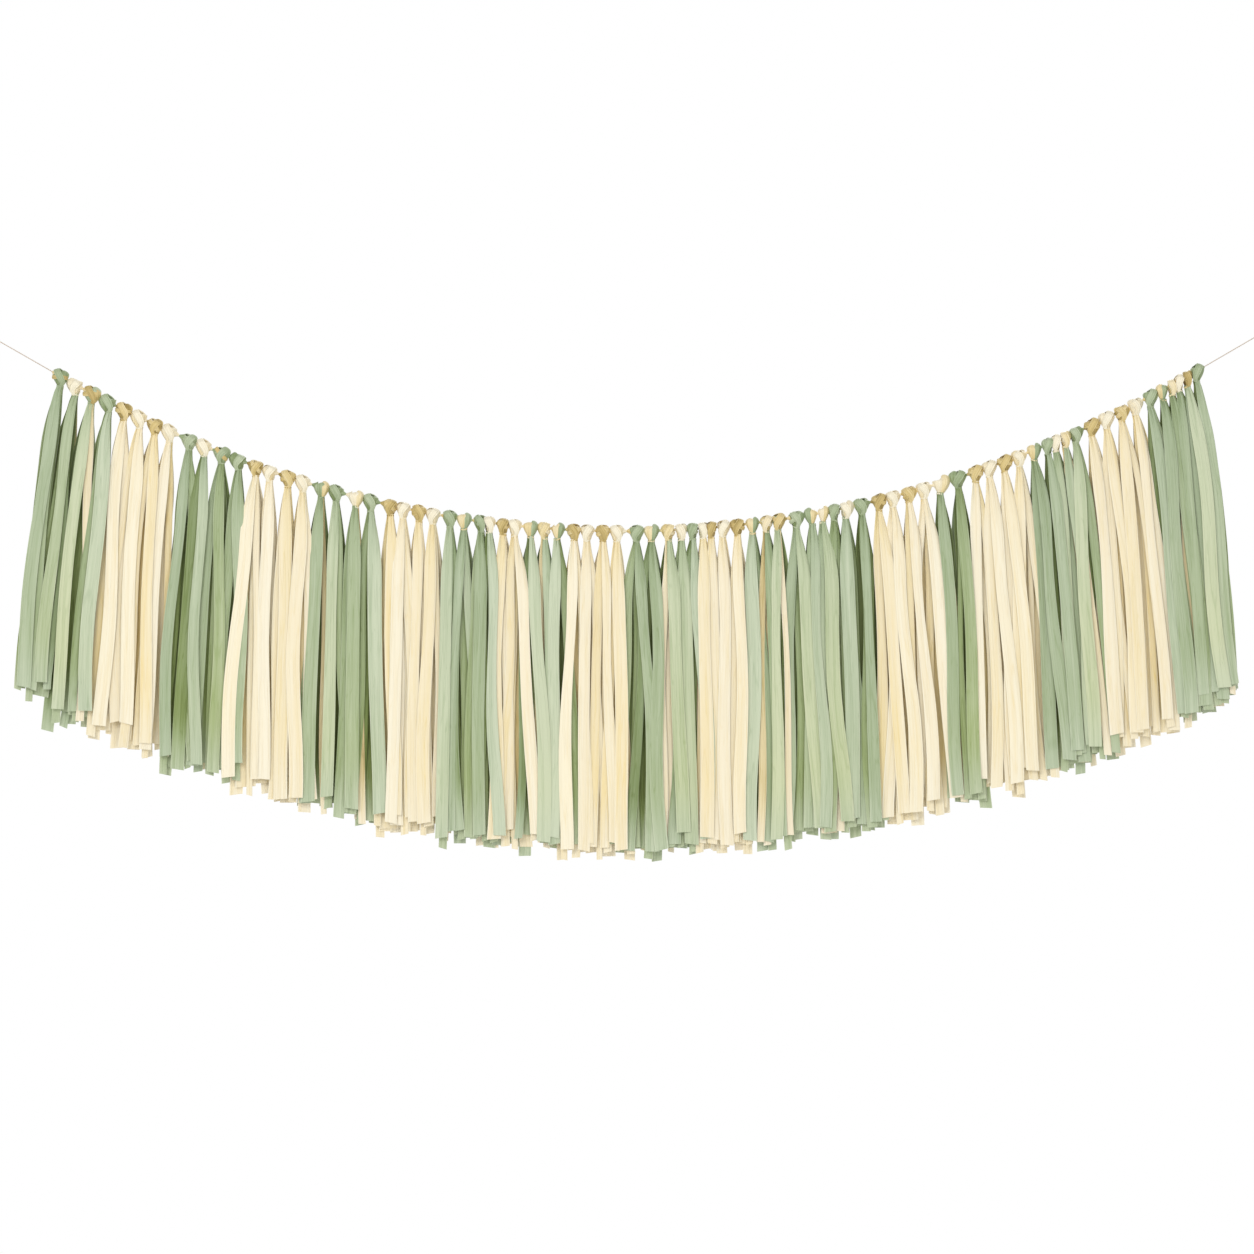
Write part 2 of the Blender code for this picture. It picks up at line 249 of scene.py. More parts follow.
def keep(shape, name, value, kind="FLOAT"):
    """Store a value on the points of a shape."""
    return shape.node("GeometryNodeStoreNamedAttribute", {"data_type": kind, "domain": "POINT"},
                      {"Geometry": shape, "Name": name, "Value": value})


def kept(shape, name, kind="FLOAT"):
    """Read a value that the points carry."""
    return shape.node("GeometryNodeInputNamedAttribute", {"data_type": kind}, {"Name": name})


def twine_tree():
    """Turn guide lines into laid twine: a waisted section that turns as it runs."""
    tree, given = new_tree("laid twine", (
        ("Radius", "Float"), ("Lay", "Float"), ("Step", "Float"), ("Sides", "Int"),
        ("Waist", "Float"), ("Material", "Material")))
    line = given["Geometry"].node("GeometryNodeMeshToCurve", {}, {"Mesh": given["Geometry"]})
    line = line.node("GeometryNodeCurveSplineType", {"spline_type": "CATMULL_ROM"}, {"Curve": line})
    line = line.node("GeometryNodeResampleCurve", {"mode": "LENGTH"},
                     {"Curve": line, "Length": given["Step"]})
    run = line.node("GeometryNodeSplineParameter", {}, {}, "Length")
    line = keep(line, "along", run)
    line = line.node("GeometryNodeSetCurveTilt", {},
                     {"Curve": line, "Tilt": run / given["Lay"] * (2 * math.pi)})
    ring = line.node("GeometryNodeCurvePrimitiveCircle", {"mode": "RADIUS"},
                     {"Resolution": given["Sides"], "Radius": given["Radius"]})
    turn = ring.node("GeometryNodeInputIndex", {}, {}) / given["Sides"]
    around = turn * (2 * math.pi)
    ring = keep(ring, "around", turn)
    lobes = 1 - around.math("SINE").math("ABSOLUTE") * (1 - given["Waist"])
    place = ring.node("GeometryNodeInputPosition", {}, {})
    ring = ring.node("GeometryNodeSetPosition", {}, {"Geometry": ring, "Position": place * lobes})
    shape = line.node("GeometryNodeCurveToMesh", {},
                      {"Curve": line, "Profile Curve": ring, "Fill Caps": True})
    shape = shape.node("GeometryNodeSetShadeSmooth", {}, {0: shape, "Shade Smooth": True})
    return finish_tree(tree, shape, given)


def guide_mesh(name, lines):
    """Guide lines as a mesh of edges. Each line is a list of points, and each point a dictionary
    with its place and whatever else the tree is to read there."""
    mesh = bpy.data.meshes.new(name)
    points = [point for line in lines for point in line]
    edges = []
    start = 0
    for line in lines:
        edges += [(start + n, start + n + 1) for n in range(len(line) - 1)]
        start += len(line)
    mesh.from_pydata([point["place"] for point in points], edges, [])
    for key, value in points[0].items():
        if key == "place":
            continue
        if isinstance(value, Vector):
            column = mesh.attributes.new(key, "FLOAT_VECTOR", "POINT")
            column.data.foreach_set("vector", [part for point in points for part in point[key]])
        else:
            column = mesh.attributes.new(key, "FLOAT", "POINT")
            column.data.foreach_set("value", [point[key] for point in points])
    return mesh


def grow(name, lines, tree, sizes):
    """Run a tree over guide lines and keep what it makes as a plain mesh."""
    item = place_object(name, guide_mesh(name + "_guides", lines))
    modifier = item.modifiers.new(tree.name, "NODES")
    modifier.node_group = tree
    for socket in tree.interface.items_tree:
        if socket.in_out == "INPUT" and socket.name in sizes:
            modifier[socket.identifier] = sizes[socket.name]
    bpy.context.view_layer.update()
    shaped = item.evaluated_get(bpy.context.evaluated_depsgraph_get())
    mesh = bpy.data.meshes.new_from_object(shaped)
    item.modifiers.clear()
    item.data = mesh
    mesh.name = name
    return item


def new_material(name, roughness):
    """A material and its Principled shader."""
    material = bpy.data.materials.new(name)
    material.use_nodes = True
    shader = material.node_tree.nodes["Principled BSDF"]
    shader.inputs["Roughness"].default_value = roughness
    return material, shader


def attribute(material, name, output="Fac"):
    """A value that the mesh carries, as a wire."""
    reader = material.node_tree.nodes.new("ShaderNodeAttribute")
    reader.attribute_name = name
    return Wire(reader.outputs[output])


def twine_material():
    """Natural cotton: plies with painted shade in the grooves between them and fine lengthwise fibres."""
    material, shader = new_material("cotton twine", COTTON_ROUGHNESS)
    along = attribute(material, "along")
    around = attribute(material, "around")
    grain = along.node("ShaderNodeCombineXYZ", {}, {"X": along * FIBRE_RUN, "Y": around * FIBRE_GIRTH})
    fibres = grain.node("ShaderNodeTexNoise", {},
                        {"Vector": grain, "Scale": COTTON_SCALE, "Detail": COTTON_DETAIL})
    # Painted shade in the grooves between the plies
    groove = (around * (2 * math.pi)).math("SINE").math("ABSOLUTE")
    tone = PLY_TONE - groove * GROOVE_SHADE + (fibres - 0.5) * FIBRE_TONE
    colour = tone.node("ShaderNodeValToRGB", {"stops": TWINE_COLOURS}, {"Fac": tone})
    bump = tone.node("ShaderNodeBump", {},
                     {"Height": fibres, "Distance": COTTON_RELIEF, "Strength": COTTON_BUMP})
    links = material.node_tree.links
    links.new(colour.socket, shader.inputs["Base Color"])
    links.new(bump.socket, shader.inputs["Normal"])
    return material


tassel_joints = sorted((joint for joint in frame["joints"] if joint["name"].startswith("tassel")),
                       key=lambda joint: joint["pos_m"][0])
tassel_places = [Vector(joint["pos_m"]) for joint in tassel_joints]
swing = next(joint for joint in frame["joints"] if joint["name"] == "garland_swing")
loop_length = (nails[0] - Vector(swing["pos_m"])).length
string_low, string_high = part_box("string")
twine_radius = (string_high.y - string_low.y) / 2

laid_twine = twine_tree()
cotton = twine_material()
twine_sizes = {"Radius": twine_radius, "Lay": TWINE_LAY, "Step": TWINE_STEP, "Sides": TWINE_SIDES,
               "Waist": TWINE_WAIST, "Material": cotton}

fringe_line = [FRINGE_ENDS[0], *tassel_places, FRINGE_ENDS[1]]
fringe_guide = [{"place": place} for place in fringe_line]
string = grow("twine_in_fringe", [fringe_guide], laid_twine, twine_sizes)
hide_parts("string")
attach(string, "strung_twine")


# The tied loops and the free ends: at each side the twine runs straight to an overhand knot, goes
# round the nail in a narrow eye and back into the knot, from which a short cut end sticks out.
LOOP_WIDTH = 0.0090
LOOP_KNOT = 0.0044
LOOP_POINTS = 28
LOOP_PEAK_SHARE = 4 / (3 * math.sqrt(3))  # greatest value of sin(t) sin(t / 2)
LEG_SHARE = 1.1  # a leg's distance from the loop's middle line in the knot, in radii of the twine
WRAP_TURNS = 3.25
WRAP_POINTS_A_TURN = 12
WRAP_SPREAD = 0.42  # how far the wraps reach from the knot's middle, of its size
WRAP_REACH = 1.25  # how far outside the legs they lie, in radii of the twine
WRAP_DEPTH = 1.35  # their reach in depth, of that
TAG_LENGTH = 0.0080
TAG_SLANT = math.radians(50)
TAG_SAG = 0.0012
TAG_POINTS = 6
FREE_END_POINTS = 16
CAP_GAP = 0.0003


def loop_lines(knot, pull):
    """Guide lines of a tied loop: the eye round the nail, the wraps of its knot and the cut end."""
    across = Vector((-pull.z, 0, pull.x))
    leg = twine_radius * LEG_SHARE
    reach = twine_radius * WRAP_REACH
    eye = []
    for n in range(LOOP_POINTS):
        turn = 2 * math.pi * n / (LOOP_POINTS - 1)
        swell = math.sin(turn) * math.sin(turn / 2) / LOOP_PEAK_SHARE
        side = leg * math.cos(turn / 2) + (LOOP_WIDTH / 2 - leg) * swell
        eye.append({"place": knot + pull * loop_length * (1 - math.cos(turn)) / 2 + across * side})
    wraps = []
    count = round(WRAP_TURNS * WRAP_POINTS_A_TURN)
    for n in range(count + 1):
        turn = 2 * math.pi * n / WRAP_POINTS_A_TURN
        out = LOOP_KNOT * WRAP_SPREAD * (2 * n / count - 1)
        ring = across * math.cos(turn) * (leg + reach)
        ring += Vector((0, math.sin(turn) * (reach * WRAP_DEPTH), 0))
        wraps.append({"place": knot + pull * out + ring})
    slant = math.atan2(-pull.z, -pull.x) + math.copysign(TAG_SLANT, pull.x)
    hang = Vector((math.cos(slant), 0, math.sin(slant)))
    tag = []
    for n in range(TAG_POINTS):
        share = n / (TAG_POINTS - 1)
        bend = Vector((0, 0, -TAG_SAG)) * share * share
        tag.append({"place": knot + hang * TAG_LENGTH * share + bend})
    return [eye, wraps, tag]


for side, end, nail in (("left", FRINGE_ENDS[0], nails[0]), ("right", FRINGE_ENDS[1], nails[1])):
    pull = (nail - end).normalized()
    knot = nail - pull * loop_length
    loop = grow(f"{side}_tied_loop", loop_lines(knot, pull), laid_twine, twine_sizes)
    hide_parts(f"{side}_hanging_loop")
    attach(loop, "hanging_loops")
    first = end + pull * CAP_GAP
    last = knot - pull * (LOOP_KNOT / 2 + CAP_GAP)
    path = [first.lerp(last, n / (FREE_END_POINTS - 1)) for n in range(FREE_END_POINTS)]
    free_guide = [{"place": place} for place in path]
    free = grow(f"{side}_free_end", [free_guide], laid_twine, twine_sizes)
    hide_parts(f"string_{side}_end")
    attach(free, "strung_twine")
    (last - first).length


# The paper: crinkled raffia in sage and in cream. Each strip is folded flat, with a satin face, fine
# lengthwise fibres, painted shade along its fold lines and a painted highlight on its cut edges, and
# painted shade on the side that looks into the bunch, where light comes through other strips. Each
# colour has a cool and a warm run of tones.
PAPER_ROUGHNESS = 0.56
ROUGHNESS_SPREAD = 0.16
PAPER_SPECULAR = 0.35
# Scales of the noise for fibres, for soft clouds of tone, and for wide and fine fold lines
FIBRE_SCALE = 1100.0
CLOUD_SCALE = 230.0
FOLD_SCALE = 340.0
LINE_SCALE = 640.0
FOLD_WIDTH = 0.05  # in the height of its noise, as the next one
LINE_WIDTH = 0.04
EDGE_HIGHLIGHT_SHARES = (0.80, 0.97)  # where the painted highlight on the edge begins and where it is full
# How much each of them moves the tone, a place in the run of colours; the edge's painted highlight raises it, and
# the fold lines' painted shade lowers it
FIBRE_STEP = 0.20
CLOUD_STEP = 0.42
EDGE_HIGHLIGHT_STEP = 0.18
FOLD_SHADE_STEP = 0.10
LINE_SHADE_STEP = 0.09
TONE_LIFT = 0.035
FOLD_RELIEF = 0.8  # of the fibres' relief
PAPER_RELIEF = 0.0004
PAPER_BUMP = 0.5
GRAIN_RUN = 0.03  # below 1, the grain is drawn out along the strip
CRINKLE_SCALE = 90.0
EDGE_STEEPNESS = 4  # of the section's ends, which makes it a flat band and not an oval
SAGE_COLOURS = (
    ((0.0, (0.085, 0.115, 0.030)), (0.3, (0.190, 0.250, 0.110)), (0.55, (0.320, 0.395, 0.245)),
     (0.8, (0.440, 0.512, 0.360)), (1.0, (0.560, 0.620, 0.460))),
    ((0.0, (0.095, 0.125, 0.016)), (0.3, (0.200, 0.262, 0.060)), (0.55, (0.335, 0.410, 0.165)),
     (0.8, (0.460, 0.520, 0.275)), (1.0, (0.590, 0.625, 0.380))),
)
CREAM_COLOURS = (
    ((0.0, (0.350, 0.260, 0.085)), (0.3, (0.640, 0.515, 0.240)), (0.55, (0.815, 0.700, 0.430)),
     (0.8, (0.860, 0.765, 0.560)), (1.0, (0.895, 0.830, 0.660))),
    ((0.0, (0.320, 0.210, 0.035)), (0.3, (0.700, 0.505, 0.150)), (0.55, (0.850, 0.665, 0.290)),
     (0.8, (0.870, 0.750, 0.480)), (1.0, (0.900, 0.820, 0.600))),
)


def paper_material(name, stops):
    """Raffia paper, whose tone comes from the strip and its fibres, with painted shade on its inner side and along
    its folds and a painted highlight on its edges.
    """
    material, shader = new_material(name, PAPER_ROUGHNESS)
    across, tone, inside, warm = [
        attribute(material, label) for label in ("across", "tone", "inside", "warm")]
    grain = attribute(material, "grain", "Vector")
    fibres = grain.node("ShaderNodeTexNoise", {},
                        {"Vector": grain, "Scale": FIBRE_SCALE, "Detail": 3.0, "Roughness": 0.6})
    clouds = grain.node("ShaderNodeTexNoise", {},
                        {"Vector": grain, "Scale": CLOUD_SCALE, "Detail": 1.0})
    folds, lines = [
        grain.node("ShaderNodeTexNoise", {}, {"Vector": grain, "Scale": scale, "Detail": 0.0})
        for scale in (FOLD_SCALE, LINE_SCALE)]
    # Wide and fine fold lines, which carry relief and painted shade along them
    unfolded = (folds - 0.5).math("ABSOLUTE").smooth(0.0, FOLD_WIDTH)
    unlined = (lines - 0.5).math("ABSOLUTE").smooth(0.0, LINE_WIDTH)
    # A painted highlight along each edge of a strip
    edge = across.math("ABSOLUTE").smooth(*EDGE_HIGHLIGHT_SHARES)
    # The tone less the painted shade on the side that faces into the bunch
    level = tone - inside + (fibres - 0.5) * FIBRE_STEP + (clouds - 0.5) * CLOUD_STEP
    level = level + edge * EDGE_HIGHLIGHT_STEP
    level = level + (unfolded - 1) * FOLD_SHADE_STEP + (unlined - 1) * LINE_SHADE_STEP + TONE_LIFT
    cool, warmer = [level.node("ShaderNodeValToRGB", {"stops": run}, {"Fac": level}) for run in stops]
    colour = level.node("ShaderNodeMix", {"data_type": "RGBA"}, {0: warm, 6: cool, 7: warmer}, 2)
    bump = fibres.node("ShaderNodeBump", {}, {
        "Height": fibres + unfolded * FOLD_RELIEF, "Distance": PAPER_RELIEF, "Strength": PAPER_BUMP})
    links = material.node_tree.links
    links.new(colour.socket, shader.inputs["Base Color"])
    roughness = PAPER_ROUGHNESS - ROUGHNESS_SPREAD / 2 + fibres * ROUGHNESS_SPREAD
    links.new(roughness.socket, shader.inputs["Roughness"])
    links.new(bump.socket, shader.inputs["Normal"])
    shader.inputs["Specular IOR Level"].default_value = PAPER_SPECULAR
    return material


def strip_tree():
    """Turn guide lines into paper strips: flat, bowed or pleated across as each point says."""
    tree, given = new_tree("paper strips", (
        ("Thickness", "Float"), ("Points round", "Int"), ("Steps", "Int"), ("Pleats", "Float"),
        ("Crinkle", "Float"), ("Crease", "Float"), ("Material", "Material")))
    line = given["Geometry"].node("GeometryNodeMeshToCurve", {}, {"Mesh": given["Geometry"]})
    line = line.node("GeometryNodeCurveSplineType", {"spline_type": "CATMULL_ROM"}, {"Curve": line})
    line = line.node("GeometryNodeSetSplineResolution", {}, {0: line, "Resolution": given["Steps"]})
    line = line.node("GeometryNodeResampleCurve", {"mode": "EVALUATED"}, {"Curve": line})
    line = keep(line, "centre", line.node("GeometryNodeInputPosition", {}, {}), "FLOAT_VECTOR")
    line = keep(line, "run", line.node("GeometryNodeInputTangent", {}, {}), "FLOAT_VECTOR")
    ring = line.node("GeometryNodeCurvePrimitiveCircle", {"mode": "RADIUS"},
                     {"Resolution": given["Points round"], "Radius": 1.0})
    turn = ring.node("GeometryNodeInputIndex", {}, {}) / given["Points round"]
    ring = keep(ring, "across", (turn * 4 - 2).math("ABSOLUTE") - 1)
    layer = (turn * (2 * math.pi)).math("SINE") * EDGE_STEEPNESS
    layer = layer.math("MINIMUM", 1.0).math("MAXIMUM", -1.0)
    ring = keep(ring, "layer", layer)
    shape = line.node("GeometryNodeCurveToMesh", {},
                      {"Curve": line, "Profile Curve": ring, "Fill Caps": True})
    names = ("across", "layer", "half", "plump", "bow", "pleat", "cut", "shade")
    across, layer, half, plump, bow, pleat, cut, shade = [kept(shape, name) for name in names]
    centre, run, face = [kept(shape, name, "FLOAT_VECTOR") for name in ("centre", "run", "face")]
    side = run.node("ShaderNodeVectorMath", {"operation": "CROSS_PRODUCT"}, {0: run, 1: face})
    side = side.node("ShaderNodeVectorMath", {"operation": "NORMALIZE"}, {0: side})
    out = side.node("ShaderNodeVectorMath", {"operation": "CROSS_PRODUCT"}, {0: side, 1: run})
    fold = ((across + 1) * given["Pleats"]).math("PINGPONG", 1.0) * 2 - 1
    flat = centre + side * (across * half)
    crinkle = flat.node("ShaderNodeTexNoise", {},
                        {"Vector": flat, "Scale": CRINKLE_SCALE, "Detail": 2.0})
    crown = 1 - across * across
    swell = crown.math("MAXIMUM", 0.0).math("SQRT") * plump + given["Thickness"] * 0.5
    stand = crown * bow + fold * pleat + layer * swell + (crinkle - 0.5) * given["Crinkle"]
    shape = shape.node("GeometryNodeSetPosition", {},
                       {"Geometry": shape, "Position": flat + out * stand + run * (across * cut)})
    grain = across.node("ShaderNodeCombineXYZ", {}, {
        "X": across * half, "Y": kept(shape, "along") * GRAIN_RUN, "Z": kept(shape, "number")})
    shape = keep(shape, "grain", grain, "FLOAT_VECTOR")
    # Painted shade on the side of a strip that faces into the bunch
    shape = keep(shape, "inside", shade * (1 - layer) * 0.5)
    shape = shape.node("GeometryNodeSetShadeSmooth", {"domain": "FACE"},
                       {0: shape, "Shade Smooth": True})
    crease = shape.node("GeometryNodeInputMeshEdgeAngle", {}, {}).math("GREATER_THAN", given["Crease"])
    shape = shape.node("GeometryNodeSetShadeSmooth", {"domain": "EDGE"},
                       {0: shape, "Selection": crease, "Shade Smooth": False})
    return finish_tree(tree, shape, given)


papers = {
    "sage": paper_material("sage raffia paper", SAGE_COLOURS),
    "cream": paper_material("cream raffia paper", CREAM_COLOURS),
}
paper_strips = strip_tree()


# The knots: each is a bunch of strips doubled over the twine, pleated like a tie's knot from a wide
# top to a pinched neck. Bands of paper cross it, some crumpled, and a small collar cinches the
# neck. The paper runs out along the twine in a shoulder on each side, up to the next knot.
SEED = 7
PAPER_THICK = 0.00045
WRAP_SETTINGS = {
    "Thickness": PAPER_THICK, "Points round": 16, "Steps": 3, "Pleats": 3.5, "Crinkle": 0.0009,
    "Crease": 0.35,
}
GRAIN_NUMBERS = (0, 50)  # the noise of a strip's grain is read at a place of its own in this range
KNOT_DEPTH = 0.0120
KNOT_RISE = 0.0046
NECK_DROP = 0.0115
BODY_PLEAT = 0.0006
HALVED_PLEAT = 0.0005  # of a body in two colours
OTHER_SIZE = 1.03  # of the second colour's half, against the first
OTHER_SWING = 0.34  # how far it swings to its side
NECK_SHADE = 0.16  # how much darker the paper is where the neck gathers it
SASH_POINT_STEP = 0.004  # of its grain, from point to point
SASH_BOW = 0.0006
SASH_PLEAT = 0.00035
SASH_INSIDE = (0.6, 0.5, -0.001)  # it faces away from here: shares across and up, and a rise
SASH_FOOT = 0.45  # half its width in the neck, as a share of that above
SASH_FOOT_REACH = 0.8  # up to where it is full, in shares of the neck's drop
CRUMPLED_SASH = (0.0004, 0.0034)  # how far it stands off the knot, and half its width
PLAIN_SASH = (0.0003, 0.0036)
BAND_POINTS = 15
BAND_TURNS = 1.08  # once round and a little over itself
BAND_GRAIN = 0.045
BAND_WOBBLE = 0.0004
BAND_WAVES = 3  # of that wobble, each time round
BAND_TAPER = 0.5  # how much slimmer its ends are
BAND_TAPER_POWER = 4  # above 1, it keeps its width almost up to its ends
BAND_BOW = 0.0004
BAND_PLEAT = 0.00025
CROSSING_TILTS = (0.35, 0.60)  # of the band across a crumpled knot, in radians
CROSSING_HEIGHT = -0.0012
CROSSING_REACH = 0.90  # of the knot's own half width
CROSSING_DEPTH = 0.0064
CROSSING_HALF = 0.0021
COLLAR_DROP = 0.0106
COLLAR_TILT = 0.25
COLLAR_RADIUS = 0.0031
COLLAR_HALF = 0.0008
SHOULDER_SHARES = (0.45, 0.66, 0.86, 1.0)  # places along a shoulder, from the knot's middle
SHOULDER_RADII = (0.0046, 0.0011)
SHOULDER_POWER = 0.8  # below 1, it is slim sooner
SHOULDER_DEPTH = 0.9  # of its radius
SHOULDER_GRAIN = 0.008
SHOULDER_PLEAT = 0.0002
TAN_SHOULDER_CHANCE = 0.6  # beside a sage knot
# The paper on a knot's left, on its right and in the band across it, and whether it is crumpled
LOOKS = {
    "G": ("sage", "sage", "sage", False), "d": ("sage", "sage", "sage", True),
    "g": ("sage", "sage", "gold", True), "q": ("sage", "gold", "gold", True),
    "o": ("gold", "gold", "gold", True), "t": ("tan", "tan", "tan", True),
    "c": ("cream", "cream", "cream", False), "p": ("cream", "tan", "cream", False),
    "m": ("tan", "sage", "sage", False), "w": ("sage", "tan", "sage", False),
}
LOOK_TONES = {"sage": (0.52, 0.78), "gold": (0.06, 0.34), "cream": (0.84, 1.0), "tan": (0.46, 0.66)}
# How much darker than that each part of a knot is, or lighter where it is below 0
BODY_SHADE = 0.14
SASH_SHADE = -0.06
CROSSING_SHADE = -0.14
COLLAR_SHADE = -0.10
SHOULDER_SHADES = (0.14, 0.10)
# A knot's body from the neck to the top: height in shares of the neck's drop or of the rise,
# then half its width and half its depth in shares of the full size
BODY_SHARES = ((-1.00, 0.34, 0.42), (-0.86, 0.36, 0.46), (-0.60, 0.58, 0.66), (-0.30, 0.82, 0.88),
               (0.10, 1.00, 1.00), (0.55, 0.94, 0.86), (0.88, 0.66, 0.56), (1.00, 0.30, 0.24))
# A sash's way up the front: height as above, then its place across and its depth, of half the knot's
SASH_SHARES = ((-0.92, -0.10, 0.46), (-0.62, -0.28, 0.72), (-0.28, -0.18, 0.96), (0.12, 0.14, 1.06),
               (0.66, 0.36, 0.90), (1.06, 0.44, 0.10))

chance = random.Random(SEED)


def mix(a, b, share):
    """A value between two others."""
    return a + (b - a) * share


def in_knot(centre, climb, across, depth, height):
    """A place in a knot, whose top follows the twine's slope and whose neck hangs upright."""
    angle = climb * (1 - min(1, max(0, -height / NECK_DROP)))
    return centre + Vector((math.cos(angle) * across, depth, height + math.sin(angle) * across))


def guide_point(place, face, half, along, tone, number, bow=0.0, pleat=0.0, plump=0.0, cut=0.0,
                shade=0.0, warm=0.3):
    """A point of a strip: which way it faces and how wide, light, bowed and plump it is."""
    return {"place": place, "face": face, "half": half, "along": along, "tone": tone, "number": number,
            "bow": bow, "pleat": pleat, "plump": plump, "cut": cut, "shade": shade, "warm": warm}


def knot_body(centre, climb, reaches, size, swing, pleat, tone):
    """The pleated middle of a knot; it is closed, and a part of it can swing to one side."""
    number = chance.uniform(*GRAIN_NUMBERS)
    points = []
    for high, wide, deep in BODY_SHARES:
        height = high * (NECK_DROP if high < 0 else KNOT_RISE)
        left, right = [wide * reach * size for reach in reaches]
        aside = (right - left) / 2 + swing * wide * min(reaches)
        half = (left + right) / 2 - abs(swing) * wide * min(reaches)
        points.append(guide_point(
            in_knot(centre, climb, aside, 0, height), Vector((0, -1, 0)), half, height,
            tone - NECK_SHADE * max(0, -high), number, pleat=pleat * wide,
            plump=deep * size * KNOT_DEPTH / 2))
    return points


def sash(centre, climb, reaches, side, lift, half, tone):
    """A strip that climbs across the front from the neck to the top's far corner and goes over the
    twine and down the back; a side of -1 starts it at the left."""
    number = chance.uniform(*GRAIN_NUMBERS)
    down_the_back = [(high, -across, -deep) for high, across, deep in reversed(SASH_SHARES[:-1])]
    points = []
    for n, (high, across, deep) in enumerate([*SASH_SHARES, *down_the_back]):
        height = high * (NECK_DROP if high < 0 else KNOT_RISE)
        reach = reaches[across * side > 0]
        place = in_knot(centre, climb, side * across * reach, -deep * (KNOT_DEPTH / 2 + lift), height)
        inside = in_knot(centre, climb, side * across * reach * SASH_INSIDE[0], 0,
                         height * SASH_INSIDE[1] + SASH_INSIDE[2])
        slim = mix(SASH_FOOT, 1, min(1, max(0, (high + 1) / SASH_FOOT_REACH)))
        points.append(guide_point(place, (place - inside).normalized(), half * slim,
                                  n * SASH_POINT_STEP, tone, number, SASH_BOW, SASH_PLEAT))
    return points


def band(centre, climb, tilt, height, reach, depth, half, tone):
    """A strip that goes a little more than once round the knot, tilted from the twine's run."""
    run = Vector((math.cos(climb + tilt), 0, math.sin(climb + tilt)))
    middle = in_knot(centre, climb, 0, 0, height)
    number = chance.uniform(*GRAIN_NUMBERS)
    points = []
    for n in range(BAND_POINTS):
        share = n / (BAND_POINTS - 1)
        turn = math.pi * (0.5 + 2 * BAND_TURNS * share)
        rise = BAND_WOBBLE * math.sin(BAND_WAVES * turn + number)
        place = middle + run * reach * math.cos(turn) + Vector((0, depth * math.sin(turn), rise))
        taper = 1 - BAND_TAPER * abs(2 * share - 1) ** BAND_TAPER_POWER
        points.append(guide_point(place, (place - middle).normalized(), half * taper,
                                  share * BAND_GRAIN, tone, number, BAND_BOW, BAND_PLEAT))
    return points


def shoulder(centre, climb, reach, number, tone):
    """The paper that runs out along the twine from a knot's side; a negative reach is leftward."""
    points = []
    for share in SHOULDER_SHARES:
        out = (share - SHOULDER_SHARES[0]) / (1 - SHOULDER_SHARES[0])
        radius = mix(*SHOULDER_RADII, out ** SHOULDER_POWER)
        points.append(guide_point(in_knot(centre, climb, reach * share, 0, 0), Vector((0, -1, 0)),
                                  radius, share * SHOULDER_GRAIN, tone, number, pleat=SHOULDER_PLEAT,
                                  plump=radius * SHOULDER_DEPTH))
    return points


def knot_lines(look, centre, climb, reaches, room):
    """A knot's wraps of paper, as guide lines for each colour."""
    lines = {"sage": [], "cream": []}

    def tone_of(kind, darker):
        return chance.uniform(*LOOK_TONES[kind]) - darker

    def add(kind, line):
        lines["sage" if kind == "sage" else "cream"].append(line)

    left_kind, right_kind, band_kind, crumpled = LOOKS[look]
    if left_kind == right_kind:
        shade = 0 if left_kind == "gold" else BODY_SHADE
        add(left_kind, knot_body(centre, climb, reaches, 1, 0, BODY_PLEAT, tone_of(left_kind, shade)))
    else:
        add(left_kind, knot_body(centre, climb, reaches, 1, 0, HALVED_PLEAT, tone_of(left_kind, 0)))
        add(right_kind, knot_body(centre, climb, reaches, OTHER_SIZE, OTHER_SWING, HALVED_PLEAT,
                                  tone_of(right_kind, 0)))
    side = chance.choice((-1, 1))
    if crumpled:
        add(right_kind, sash(centre, climb, reaches, side, *CRUMPLED_SASH,
                             tone_of(right_kind, SASH_SHADE)))
        add(band_kind, band(centre, climb, -side * chance.uniform(*CROSSING_TILTS), CROSSING_HEIGHT,
                            sum(reaches) / 2 * CROSSING_REACH, CROSSING_DEPTH, CROSSING_HALF,
                            tone_of(band_kind, CROSSING_SHADE)))
    elif left_kind == right_kind:
        add(band_kind, sash(centre, climb, reaches, side, *PLAIN_SASH, tone_of(band_kind, SASH_SHADE)))
    add(left_kind, band(centre, 0, chance.uniform(-COLLAR_TILT, COLLAR_TILT), -COLLAR_DROP,
                        COLLAR_RADIUS, COLLAR_RADIUS, COLLAR_HALF, tone_of(left_kind, COLLAR_SHADE)))
    tan_shoulder = left_kind == "sage" and chance.random() < TAN_SHOULDER_CHANCE
    left_shoulder = "tan" if tan_shoulder else left_kind
    add(left_shoulder, shoulder(centre, climb, -room[0], chance.uniform(*GRAIN_NUMBERS),
                                tone_of(left_shoulder, SHOULDER_SHADES[0])))
    add(right_kind, shoulder(centre, climb, room[1], chance.uniform(*GRAIN_NUMBERS),
                             tone_of(right_kind, SHOULDER_SHADES[1])))
    return lines


